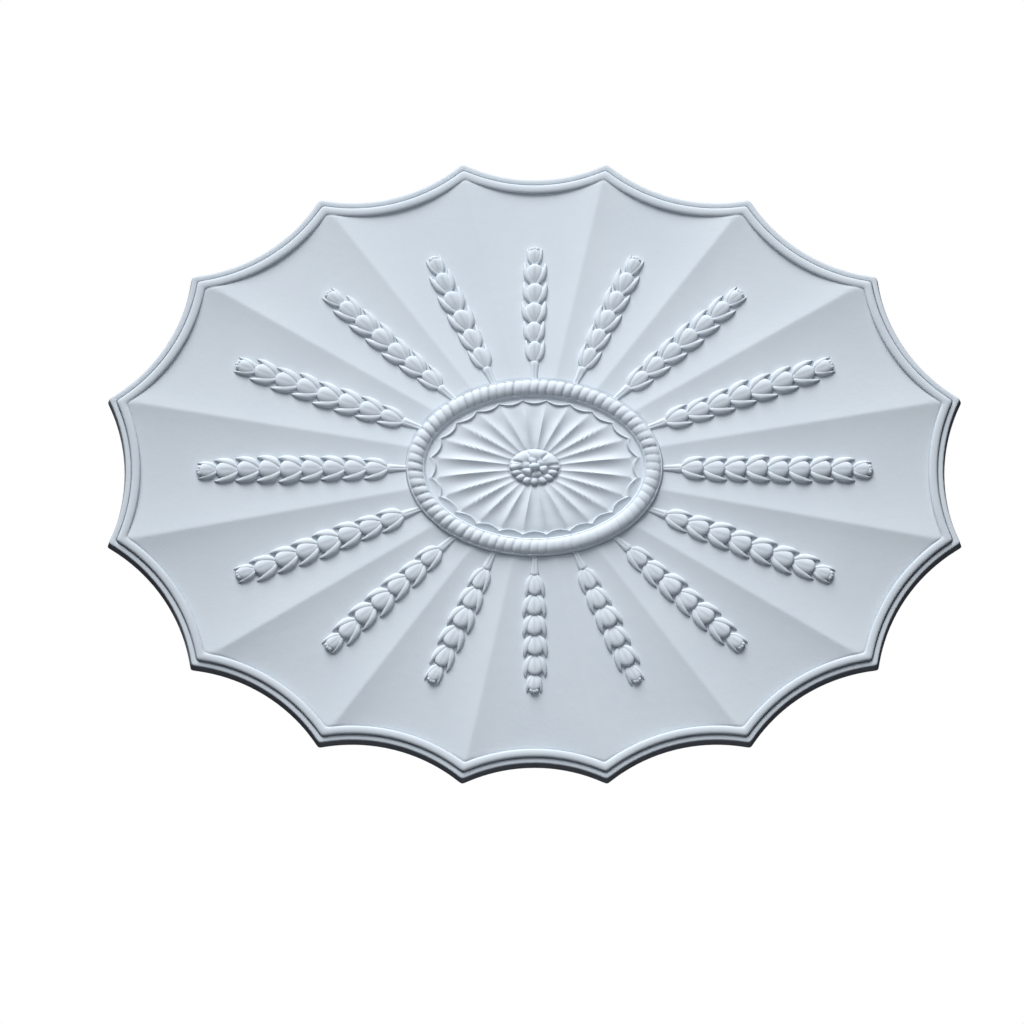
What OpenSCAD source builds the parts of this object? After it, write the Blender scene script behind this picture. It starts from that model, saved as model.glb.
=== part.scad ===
// Oval ceiling rose, cast in one piece: a scalloped rim, sixteen hollowed bays that
// fall from the middle, a drop of husks down each bay, a beaded ring and a fluted
// medallion round a small rosette. It lies on its flat back, with the face up.
//
// The casting is one closed skin. Rows of points run round it, or out along its bays, and
// each row is joined to the next by a band of triangles.

/* [Overall] */
// Length over the points, at the back
length = 1220; // [900:10:1500]
// Width over the points, at the back
width = 915; // [760:5:1100]
// Height of the edge above the back
edge_height = 20; // [14:1:30]
// Draft of the edge, from the back to the face
edge_draft = 2; // [0.5:0.5:4]

/* [Outline] */
// Place of the point nearest the long axis, as an angle round the oval
point_angle_1 = 13.4; // [12:0.1:15]
// Place of the second point
point_angle_2 = 38.6; // [36:0.1:40]
// Place of the third point
point_angle_3 = 60.6; // [58:0.1:63]
// Place of the point nearest the short axis
point_angle_4 = 80.5; // [79:0.1:82]
// Depth of each hollow of the outline, as a share of its straight width
hollow_depth = 0.117; // [0.08:0.001:0.14]

/* [Rim] */
// Width of the flat fillet round the edge
fillet_width = 8.5; // [5:0.5:14]
// Rise of the step from the fillet to the bead
step_height = 2; // [1:0.5:4]
// Width of the bead
bead_width = 11.5; // [8:0.5:18]
// Height of the bead's crown above the step
bead_height = 5; // [3:0.5:8]

/* [Bays] */
// Height at which the ridges would meet over the middle
ridge_top = 42; // [40:1:50]
// Height of a ridge where it meets the rim
ridge_end = 23; // [22:1:26]
// Height of the middle of a bay where it meets the rim
bay_end = 19; // [14:1:20]

/* [Husks] */
// Distance from one husk to the next
husk_pitch = 31; // [26:1:40]
// Width of the widest husk in the shortest drop
husk_width = 35; // [28:1:42]
// Extra width of the widest husk for each husk more than six
husk_gain = 1.7; // [0:0.1:2.5]
// Height of a husk as a share of its width
husk_rise = 0.3; // [0.2:0.01:0.4]
// Length of the bare stem between the ring and the first husk
stem_length = 28; // [18:1:40]
// Width of the stem at its outer end
stem_width = 12; // [9:1:18]
// Distance from the edge to the last husk
drop_margin = 100; // [70:1:120]

/* [Ring] */
// Half length of the ring, to the middle of its beads
ring_half_length = 170; // [140:1:210]
// Half width of the ring, to the middle of its beads
ring_half_width = 118; // [95:1:150]
// Width of the ring's plain band
ring_band = 26; // [22:1:30]
// Height of the ring's plain band above the back
ring_height = 41; // [40:1:50]
// Number of beads
bead_count = 76; // [60:2:90]
// Radius of each bead
bead_radius = 9; // [7.5:0.5:10]

/* [Medallion] */
// Number of flutes
flute_count = 24; // [16:4:32]
// Height of the medallion under the ring
medallion_edge = 36; // [34:0.5:38]
// Height of the swell halfway out
medallion_swell = 7; // [4:0.5:10]
// Depth of each flute
flute_depth = 4; // [2:0.5:5]
// Rise of the scallop at the end of each flute
scallop_rise = 3; // [1.5:0.5:4]

/* [Rosette] */
// Half length of the rosette
rosette_half_length = 36; // [28:1:46]
// Half width of the rosette
rosette_half_width = 27; // [20:1:34]
// Height of the rosette's top above the back
rosette_top = 50; // [48:1:58]
// Number of petals
petal_count = 14; // [10:1:18]

/* [Hidden] */
plaster = "#dde4ea";

// Points of the rim along each bay, which the bands of a bay below count on
rim_steps = 8;
// Place across a bay of the line halfway up its flank: 0 in its middle, 1 on its ridge
flank = 0.7;
// How far the ring's wall leans in
ring_lean = 0.8;
// Depth of the nick between two beads, as a share of their height
bead_nick = 0.28;
bead_sink = bead_radius / 4;

quarter = [point_angle_1, point_angle_2, point_angle_3, point_angle_4];
point_angles = concat(
    quarter,
    [for (i = [3:-1:0]) 180 - quarter[i]],
    [for (t = quarter) 180 + t],
    [for (i = [3:-1:0]) 360 - quarter[i]]
);
semi_length = length / 2 / cos(point_angle_1);
semi_width = width / 2 / sin(point_angle_4);
corners = [for (t = point_angles) [semi_length * cos(t), semi_width * sin(t)]];
bays = len(corners);

ring_outer_length = ring_half_length + ring_band / 2;
ring_outer_width = ring_half_width + ring_band / 2;
ring_inner_length = ring_half_length - ring_band / 2;
ring_inner_width = ring_half_width - ring_band / 2;

step_z = edge_height + step_height;
bead_middle = edge_draft + fillet_width + bead_width / 2;
inner_offset = edge_draft + fillet_width + bead_width;

// Rows of the rim, from the back up and in, as [distance in from the outline, height]
rim_rows = concat(
    [
        [0, 0],
        [edge_draft, edge_height],
        [edge_draft + fillet_width, edge_height],
        [edge_draft + fillet_width + 0.4, step_z]
    ],
    [for (a = [30:60:150]) [bead_middle - bead_width / 2 * cos(a), step_z + bead_height * sin(a)]]
);

// Rows of one husk from its neck on, as [share of the pitch, half width, place of the leaf's
// crest, height of the leaf, height of the bulb], the last two in shares of the husk's rise
husk_rows = [
    [0, 0.2, 0.1, 0.3, 0.45],
    [0.55, 0.42, 0.31, 0.55, 1],
    [0.92, 0.5, 0.4, 0.45, 0.92]
];
// Width of the first and last husk of a drop, as a share of the widest
husk_taper = 0.76;

// Joins rows a and b by triangles. Seen from above, and going along the rows, a lies on the
// right and b on the left. Two rows out along a bay go on in step along its direction, and
// rows that run round the casting go on across the shorter diagonal.
function a_first(a, b, at, way) =
    is_undef(way)
        ? norm(a[at[0] + 1] - b[at[1]]) < norm(a[at[0]] - b[at[1] + 1])
        : [a[at[0] + 1].x, a[at[0] + 1].y] * way < [b[at[1] + 1].x, b[at[1] + 1].y] * way;
function onward(a, b, at, way) =
    at[1] == len(b) - 1 || (at[0] < len(a) - 1 && a_first(a, b, at, way))
        ? [at[0] + 1, at[1]]
        : [at[0], at[1] + 1];
function stitch(a, b, way) = [
    for (at = [0, 0]; at != [len(a) - 1, len(b) - 1]; at = onward(a, b, at, way))
        let (next = onward(a, b, at, way))
        next[0] > at[0] ? [a[at[0]], b[at[1]], a[next[0]]] : [a[at[0]], b[at[1]], b[next[1]]]
];
// The same for rows with as many points each
function band(a, b) = [
    for (k = [0:len(a) - 2])
        each [[a[k], b[k], b[k + 1]], [a[k], b[k + 1], a[k + 1]]]
];
function bands(rows) = [for (k = [0:len(rows) - 2]) each band(rows[k], rows[k + 1])];
function closed(row) = concat(row, [row[0]]);
function roll(row, by) = [for (k = [0:len(row) - 1]) row[(k + by) % len(row)]];

function unit(v) = v / norm(v);
function leftward(v) = [-v.y, v.x];
function oval_point(a, b, t) = [a * cos(t), b * sin(t)];
function onto_oval(a, b, p) = p / norm([p.x / a, p.y / b]);
// Points that stand the same distance apart all round the oval
function even_turn(a, b, t) = t + (a - b) / (a + b) / 2 * 180 / PI * sin(2 * t);
// 0 in the middle of a repeat, 1 at its edges
function across(turn, count) = let (s = turn * count / 360) 2 * abs(s - round(s));

// Each bay as [outward direction, radius, centre of its circle]
function bay(i) =
    let (
        a = corners[i],
        b = corners[(i + 1) % bays],
        chord = norm(b - a),
        out = [b.y - a.y, a.x - b.x] / chord,
        radius = chord * (1 / (8 * hollow_depth) + hollow_depth / 2)
    )
    [out, radius, (a + b) / 2 + out * (radius - hollow_depth * chord)];

// Where the edges of a bay and the one before it meet, at a distance in from the outline
function mitre(i, inset) =
    let (
        p = bay((i + bays - 1) % bays),
        q = bay(i % bays),
        r = p[1] + inset,
        apart = q[2] - p[2],
        d = norm(apart),
        along = (r * r - pow(q[1] + inset, 2) + d * d) / (2 * d),
        foot = p[2] + along * apart / d,
        away = sqrt(r * r - along * along) * leftward(apart) / d
    )
    norm(foot + away) < norm(foot - away) ? foot + away : foot - away;

// Points of a row of the rim along one bay
function bay_edge(i, inset) =
    let (
        w = bay(i),
        ends = [for (k = [i, i + 1]) mitre(k, inset) - w[2]],
        swing = [for (v = ends) atan2(v * leftward(-w[0]), v * -w[0])]
    )
    [
        for (k = [0:rim_steps - 1])
            let (g = swing[0] + (swing[1] - swing[0]) * k / rim_steps)
            w[2] + (w[1] + inset) * (leftward(-w[0]) * sin(g) - w[0] * cos(g))
    ];

// Middle of a bay's edge, where the rim's inner face stands
function bay_foot(i) = let (w = bay(i)) w[2] - w[0] * (w[1] + inner_offset);

// How far round a point of a bay is towards its two corners, in shares of each
function shares(i, p) =
    let (a = corners[i], b = corners[(i + 1) % bays], d = a.x * b.y - a.y * b.x)
    [(p.x * b.y - p.y * b.x) / d, (a.x * p.y - a.y * p.x) / d];

// Rise of the scoop's section from its middle to its ridge, as a share of its depth
function scoop(c) = 0.75 * c * c + 0.25 * pow(c, 4);

// Height of a bay's surface
function ground(i, p) =
    let (
        s = shares(i, p),
        rho = s[0] + s[1],
        foot = shares(i, bay_foot(i)),
        depth = (ridge_top - bay_end) / (foot[0] + foot[1]) - (ridge_top - ridge_end)
    )
    ridge_top - rho * (ridge_top - ridge_end + depth * (1 - scoop((s[1] - s[0]) / rho)));
function on_ground(i, p) = [p.x, p.y, ground(i, p)];

// Line of a drop as [direction, where the ring ends, number of husks, pitch, widest husk]. It
// goes halfway between the two ridges of its bay.
function drop_line(i) =
    let (
        w = bay(i),
        way = unit(unit(corners[i]) + unit(corners[(i + 1) % bays])),
        to_edge = way * w[2] - sqrt(pow(way * w[2], 2) - w[2] * w[2] + w[1] * w[1]),
        start = norm(onto_oval(ring_outer_length, ring_outer_width, way)),
        run = to_edge - drop_margin - start - stem_length,
        count = round(run / husk_pitch)
    )
    [way, start, count, run / count, husk_width + husk_gain * max(0, count - 6)];

// One row across a drop, from its right edge to its left
function drop_row(i, line, d, half, leaf, leaf_z, crown_z) = [
    for (k = [[-half, 0], [-leaf, leaf_z], [0, crown_z], [leaf, leaf_z], [half, 0]])
        on_ground(i, line[0] * d + leftward(line[0]) * k[0]) + [0, 0, k[1]]
];

function stem_row(i, line, share) =
    let (half = stem_width / 2 * (0.5 + 0.5 * share))
    drop_row(i, line, line[1] + share * stem_length, half, half / 2, 0.7 * half, 0.8 * half);

// Every row of a drop outside the ring, with its end brought down to the bay
function drop_rows(i) =
    let (
        line = drop_line(i),
        first = line[1] + stem_length,
        rows = [
            for (k = [0:line[2] - 1])
                let (
                    w = line[4] * (husk_taper + (1 - husk_taper) * sin(180 * (k + 0.5) / line[2])),
                    rise = husk_rise * w
                )
                for (r = husk_rows)
                    let (d = first + (k + r[0]) * line[3])
                    drop_row(i, line, d, r[1] * w, r[2] * w, r[3] * rise, r[4] * rise)
        ],
        last = first + line[2] * line[3],
        tip = husk_taper * line[4]
    )
    concat(
        [stem_row(i, line, 0.9)],
        rows,
        [
            drop_row(i, line, last, 0.16 * tip, 0.08 * tip, 0.5, 1),
            drop_row(i, line, last + 2, 0.12 * tip, 0.06 * tip, 0, 0)
        ]
    );

// Foot of the ring along one bay: ridge, flank, the stem's five points and the other flank
function ring_foot(i) =
    let (
        line = drop_line(i),
        a = corners[i],
        b = corners[(i + 1) % bays],
        lines = [for (c = [-1, -flank, flank]) (a * (1 - c) + b * (1 + c)) / 2],
        open = [for (q = lines) on_ground(i, onto_oval(ring_outer_length, ring_outer_width, q))],
        stem = [
            for (p = stem_row(i, line, 0))
                let (q = onto_oval(ring_outer_length, ring_outer_width, [p.x, p.y]))
                [q.x, q.y, p.z]
        ]
    )
    concat([open[0], open[1]], stem, [open[2]]);

rim_foot = [for (i = [0:bays - 1]) [for (p = bay_edge(i, inner_offset)) on_ground(i, p)]];
ring_feet = [for (i = [0:bays - 1]) ring_foot(i)];

// Line down one flank of a bay, with a point beside the leaf tips of each husk
function flank_line(i, side) =
    let (
        line = drop_line(i),
        c = side * flank,
        q = (corners[i] * (1 - c) + corners[(i + 1) % bays] * (1 + c)) / 2,
        tips = line[1] + stem_length + (husk_rows[2][0] + 0.01) * line[3]
    )
    concat(
        [ring_feet[i][side < 0 ? 1 : 7]],
        [for (k = [0:line[2] - 1]) on_ground(i, q * (tips + k * line[3]) / (q * line[0]))],
        [rim_foot[i][side < 0 ? 1 : 7]]
    );
function ridge(i) = [ring_feet[i % bays][0], rim_foot[i % bays][0]];

function rim_skin() = let (
    rows = [
        for (r = rim_rows)
            closed([for (i = [0:bays - 1]) for (p = bay_edge(i, r[0])) [p.x, p.y, r[1]]])
    ],
    foot = closed([for (p = rim_foot) each p])
) bands(concat(rows, [foot]));

// Back of the casting, round a triangle about its middle
function back_skin() = let (
    edge = closed([for (i = [0:bays - 1]) for (p = bay_edge(i, 0)) [p.x, p.y, 0]]),
    first = atan2(edge[0].y, edge[0].x),
    middle = closed([for (t = [0:120:240]) [cos(first + t), sin(first + t), 0] * ring_inner_width / 2])
) [for (t = concat(stitch(edge, middle), [[middle[0], middle[2], middle[1]]])) [t[0], t[2], t[1]]];

function bay_skin(i) = let (
    feet = ring_feet[i],
    rim = rim_foot[i],
    rows = concat([[for (k = [2:6]) feet[k]]], drop_rows(i)),
    right = [for (r = rows) r[0]],
    left = [for (r = rows) r[4]],
    right_flank = flank_line(i, -1),
    left_flank = flank_line(i, 1),
    way = drop_line(i)[0]
) concat(
    stitch(ridge(i), right_flank, way),
    stitch(concat(right_flank, [rim[2], rim[3]]), right, way),
    [for (k = [0:len(rows) - 2]) each band(rows[k + 1], rows[k])],
    stitch([rim[3], rim[4], rim[5]], rows[len(rows) - 1]),
    stitch(left, concat(left_flank, [rim[6], rim[5]]), way),
    stitch(left_flank, ridge(i + 1), way)
);

// One row of the ring's beads: even points are the crowns, odd points the nicks between them
function bead_row(offset, share) = [
    for (k = [0:2 * bead_count - 1])
        let (
            turn = even_turn(ring_half_length, ring_half_width, 180 * k / bead_count),
            p = oval_point(ring_half_length + offset, ring_half_width + offset, turn),
            rise = share * (bead_radius - bead_sink) * (1 - bead_nick * (k % 2))
        )
        [p.x, p.y, ring_height + rise]
];

function ring_skin() = let (
    foot = [for (f = ring_feet) each f],
    edge = [
        for (p = foot)
            let (q = [p.x, p.y] - ring_lean * unit([p.x, p.y]))
            [q.x, q.y, ring_height]
    ],
    beads = [
        for (a = [15:50:165])
            bead_row(bead_radius * cos(a), a == 15 || a == 165 ? 0 : sin(a))
    ],
    first = atan2(foot[0].y / ring_outer_width, foot[0].x / ring_outer_length),
    start = round(first * bead_count / 180)
) concat(
    band(closed(foot), closed(edge)),
    stitch(closed(edge), closed(roll(beads[0], start))),
    bands([for (r = beads) closed(r)])
);

// Height of the medallion between the rosette, at 0, and the ring, at 1
function medallion_z(share) = medallion_edge + medallion_swell * sin(27 + 153 * share);

// One row of the medallion, 24 flutes round
function medallion_row(row) = [
    for (k = [0:4 * flute_count - 1])
        let (
            turn = 90 * k / flute_count,
            bulge = 1 - pow(across(turn, flute_count), 2),
            end = 0.9 - 0.07 * bulge,
            share = [1, 0.99, end + 0.02, end, 0.5, 0][row],
            hollow = flute_depth * [0, 0, 0, 0.8, 1, 0.3][row] * bulge,
            rise = scallop_rise * [0, 1, 1, 0, 0, 0][row],
            a = (rosette_half_length + 1.5) * (1 - share) + ring_inner_length * share,
            b = (rosette_half_width + 1.5) * (1 - share) + ring_inner_width * share,
            p = oval_point(a, b, even_turn(a, b, turn))
        )
        [p.x, p.y, row == 0 ? ring_height : medallion_z(share) - hollow + rise]
];

function rosette_row(row) = [
    for (k = [0:4 * petal_count - 1])
        let (
            turn = 90 * k / petal_count,
            dip = pow(across(turn, petal_count), 2),
            share = [1, 0.92, 0.55, 0.3][row] * (row < 2 ? 1 - 0.1 * dip : 1),
            rise = [0.1, 0.8 - 0.15 * dip, 0.75 - 0.1 * dip, 1][row]
        )
        [
            rosette_half_length * share * cos(turn),
            rosette_half_width * share * sin(turn),
            medallion_z(0) + rise * (rosette_top - medallion_z(0))
        ]
];

function middle_skin() = let (
    inner_foot = bead_row(-bead_radius * cos(15), 0),
    flutes = [for (r = [0:5]) closed(medallion_row(r))],
    petals = [for (r = [0:3]) closed(rosette_row(r))],
    top = petals[3]
) concat(
    stitch(closed(inner_foot), flutes[0]),
    bands(flutes),
    stitch(flutes[5], petals[0]),
    bands(petals),
    [for (k = [0:len(top) - 2]) [top[k], [0, 0, rosette_top], top[k + 1]]]
);

module ceiling_rose() {
    skin = concat(
        back_skin(),
        rim_skin(),
        [for (i = [0:bays - 1]) each bay_skin(i)],
        ring_skin(),
        middle_skin()
    );
    color(plaster)
        polyhedron(
            points = [for (t = skin) each t],
            faces = [for (k = [0:len(skin) - 1]) [3 * k, 3 * k + 1, 3 * k + 2]]
        );
}

ceiling_rose();
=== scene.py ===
"""Oval ceiling rose of cast plaster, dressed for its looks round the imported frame.

Sizes are in millimetres until a mesh is made, and then in metres.
"""
import logging
import math
from dataclasses import dataclass, field
from enum import Enum

import bpy
import numpy as np
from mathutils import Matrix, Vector
from mathutils.geometry import delaunay_2d_cdt


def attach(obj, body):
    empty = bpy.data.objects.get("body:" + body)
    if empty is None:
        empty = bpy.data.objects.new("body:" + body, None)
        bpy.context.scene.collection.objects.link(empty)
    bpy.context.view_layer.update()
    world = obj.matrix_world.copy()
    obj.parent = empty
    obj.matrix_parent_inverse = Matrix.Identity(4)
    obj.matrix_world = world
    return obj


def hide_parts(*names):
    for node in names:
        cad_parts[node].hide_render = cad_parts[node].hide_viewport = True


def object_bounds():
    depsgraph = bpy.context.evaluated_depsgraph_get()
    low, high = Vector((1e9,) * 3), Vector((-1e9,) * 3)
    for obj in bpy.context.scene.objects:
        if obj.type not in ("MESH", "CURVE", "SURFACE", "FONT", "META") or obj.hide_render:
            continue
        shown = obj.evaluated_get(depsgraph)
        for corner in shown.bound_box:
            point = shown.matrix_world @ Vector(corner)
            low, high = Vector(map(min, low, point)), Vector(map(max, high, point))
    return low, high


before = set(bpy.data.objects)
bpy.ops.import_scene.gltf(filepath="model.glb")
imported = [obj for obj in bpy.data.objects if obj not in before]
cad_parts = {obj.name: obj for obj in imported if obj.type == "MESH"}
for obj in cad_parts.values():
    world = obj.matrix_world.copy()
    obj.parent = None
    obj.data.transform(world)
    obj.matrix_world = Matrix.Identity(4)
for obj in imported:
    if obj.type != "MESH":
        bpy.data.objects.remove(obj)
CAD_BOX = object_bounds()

LOG = logging.getLogger("ceiling_rose")
MM = 0.001
NODE = "ceiling_rose"
BODY = "root"
OVAL_STEPS = 20001
POINTS_MEET = 1e-5
EDGE_SLIVER = 0.003
CRISP_ANGLE = 52.0


class Tie(Enum):
    """How the points of a row are held together when the skin is meshed."""

    LOOP = "closed loop"
    LINE = "open line"
    LOOSE = "loose points"


def smooth_step(value: np.ndarray) -> np.ndarray:
    """Ease from 0 to 1 as the value goes from 0 to 1."""
    v = np.clip(value, 0.0, 1.0)
    return v * v * (3.0 - 2.0 * v)


def across(turn: np.ndarray) -> np.ndarray:
    """Place across a repeat: 0 in its middle and 1 at its edges, for turns counted in repeats."""
    return 2.0 * np.abs(turn - np.round(turn))


def dome(offset: np.ndarray, half: float) -> np.ndarray:
    """Height of a round section of half width `half`, as a share of its crown."""
    return np.sqrt(np.clip(1.0 - (offset / half) ** 2, 0.0, 1.0))


@dataclass(frozen=True)
class OvalCurve:
    """An oval with points that stand the same distance apart along it."""

    half_length: float
    half_width: float

    def turns(self, count: int) -> np.ndarray:
        """Angles round the oval of evenly spaced points.

        Args:
            count: Number of points, the first on the long axis.

        Returns:
            The angle of each point, in radians.
        """
        fine = np.linspace(0.0, 2.0 * math.pi, OVAL_STEPS)
        pace = np.hypot(self.half_length * np.sin(fine), self.half_width * np.cos(fine))
        run = np.concatenate([[0.0], np.cumsum((pace[1:] + pace[:-1]) / 2.0)])
        return np.interp(np.arange(count) * run[-1] / count, run, fine)

    def offset_points(self, turns: np.ndarray, offset: float) -> np.ndarray:
        """Points beside the oval.

        Args:
            turns: Angles round the oval, in radians.
            offset: Distance out from the oval, in mm.

        Returns:
            Plan points, one row each.
        """
        x, y = self.half_length * np.cos(turns), self.half_width * np.sin(turns)
        nx, ny = x / self.half_length**2, y / self.half_width**2
        size = np.hypot(nx, ny)
        return np.column_stack([x + offset * nx / size, y + offset * ny / size])

    def reach(self, direction: np.ndarray) -> float:
        """Distance from the middle to the oval along a direction, in mm."""
        x, y = direction[0] / self.half_length, direction[1] / self.half_width
        return 1.0 / math.hypot(x, y)


@dataclass
class Outline:
    """The scalloped outline: sixteen corners on an oval, with a hollow arc between each two."""

    length: float
    width: float
    corner_angles: tuple[float, ...] = (13.4, 38.6, 60.6, 80.5)
    hollow: float = 0.117
    corner_softness: float = 1.5
    corner_crowding: float = 0.75
    settling_rounds: int = 5
    corners: np.ndarray = field(init=False)
    out: np.ndarray = field(init=False)
    radius: np.ndarray = field(init=False)
    centre: np.ndarray = field(init=False)
    half_chord: np.ndarray = field(init=False)

    def __post_init__(self) -> None:
        """Work out the corners and the circle of each bay."""
        q = np.array(self.corner_angles)
        turns = np.radians(np.concatenate([q, 180 - q[::-1], 180 + q, 360 - q[::-1]]))
        a = self.length / 2 / math.cos(math.radians(q[0]))
        b = self.width / 2 / math.sin(math.radians(q[-1]))
        self.corners = np.column_stack([a * np.cos(turns), b * np.sin(turns)])
        after = np.roll(self.corners, -1, axis=0)
        chord = after - self.corners
        size = np.linalg.norm(chord, axis=1)
        self.half_chord = size / 2
        self.out = np.column_stack([chord[:, 1], -chord[:, 0]]) / size[:, None]
        self.radius = size * (1 / (8 * self.hollow) + self.hollow / 2)
        lift = self.radius - self.hollow * size
        self.centre = (self.corners + after) / 2 + self.out * lift[:, None]

    @property
    def bays(self) -> int:
        """Number of bays."""
        return len(self.corners)

    def edge_distance(self, points: np.ndarray) -> tuple[np.ndarray, np.ndarray]:
        """Distance in from the outline, eased where two bays meet.

        Args:
            points: Plan points.

        Returns:
            The distance of each point and its gradient.
        """
        gap = points[:, None, :] - self.centre[None]
        away = np.linalg.norm(gap, axis=2)
        inset = away - self.radius
        low = inset.min(axis=1, keepdims=True)
        pull = np.exp(-(inset - low) / self.corner_softness)
        total = pull.sum(axis=1, keepdims=True)
        share = pull / total
        gradient = (share[:, :, None] * gap / away[:, :, None]).sum(axis=1)
        return (low - self.corner_softness * np.log(total))[:, 0], gradient

    def mitre(self, inset: float) -> np.ndarray:
        """Where the edges of neighbouring bays meet.

        Args:
            inset: Distance in from the outline, in mm.

        Returns:
            The meeting point at each corner.
        """
        before = np.roll(self.centre, 1, axis=0)
        r, s = np.roll(self.radius, 1) + inset, self.radius + inset
        apart = self.centre - before
        d = np.linalg.norm(apart, axis=1)
        along = (r * r - s * s + d * d) / (2 * d)
        foot = before + apart * (along / d)[:, None]
        side = np.column_stack([-apart[:, 1], apart[:, 0]]) / d[:, None]
        side *= np.sqrt(r * r - along * along)[:, None]
        near, far = foot + side, foot - side
        closer = np.linalg.norm(near, axis=1) < np.linalg.norm(far, axis=1)
        return np.where(closer[:, None], near, far)

    def row(self, inset: float, steps: int) -> np.ndarray:
        """A row of points that follows the outline.

        Args:
            inset: Distance in from the outline, in mm.
            steps: Points along each bay, closer together near its corners.

        Returns:
            Plan points all the way round.
        """
        meet = self.mitre(inset)
        inward = -self.out
        left = np.column_stack([-inward[:, 1], inward[:, 0]])
        ends = []
        for corner in (meet, np.roll(meet, -1, axis=0)):
            v = corner - self.centre
            ends.append(np.arctan2((v * left).sum(axis=1), (v * inward).sum(axis=1)))
        share = 0.5 - 0.5 * np.cos(math.pi * np.arange(steps) / steps)
        even = (1 - self.corner_crowding) * np.arange(steps) / steps
        share = self.corner_crowding * share + even
        turn = ends[0][:, None] + (ends[1] - ends[0])[:, None] * share[None]
        r = (self.radius + inset)[:, None, None]
        swing = left[:, None] * np.sin(turn)[..., None] + inward[:, None] * np.cos(turn)[..., None]
        points = (self.centre[:, None] + r * swing).reshape(-1, 2)
        for _ in range(self.settling_rounds):
            now, gradient = self.edge_distance(points)
            pull = (inset - now) / (gradient**2).sum(axis=1)
            points = points + gradient * pull[:, None]
        return points

    def shares(self, points: np.ndarray) -> tuple[np.ndarray, np.ndarray, np.ndarray]:
        """Where points lie in their bays.

        Args:
            points: Plan points.

        Returns:
            How far out each lies (1 on the chord of its bay), its place across the bay from
            -1 to 1, and the number of its bay.
        """
        turn = np.degrees(np.arctan2(self.corners[:, 1], self.corners[:, 0])) % 360
        angle = np.degrees(np.arctan2(points[:, 1], points[:, 0])) % 360
        bay = (np.searchsorted(turn, angle, side="right") - 1) % self.bays
        a, b = self.corners[bay], self.corners[(bay + 1) % self.bays]
        d = a[:, 0] * b[:, 1] - a[:, 1] * b[:, 0]
        first = (points[:, 0] * b[:, 1] - points[:, 1] * b[:, 0]) / d
        second = (a[:, 0] * points[:, 1] - a[:, 1] * points[:, 0]) / d
        out = np.maximum(first + second, 1e-9)
        return out, np.clip((second - first) / out, -1.0, 1.0), bay

    def foot(self, inset: float) -> np.ndarray:
        """Middle of each bay's edge at a distance in from the outline."""
        return self.centre - self.out * (self.radius + inset)[:, None]


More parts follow.
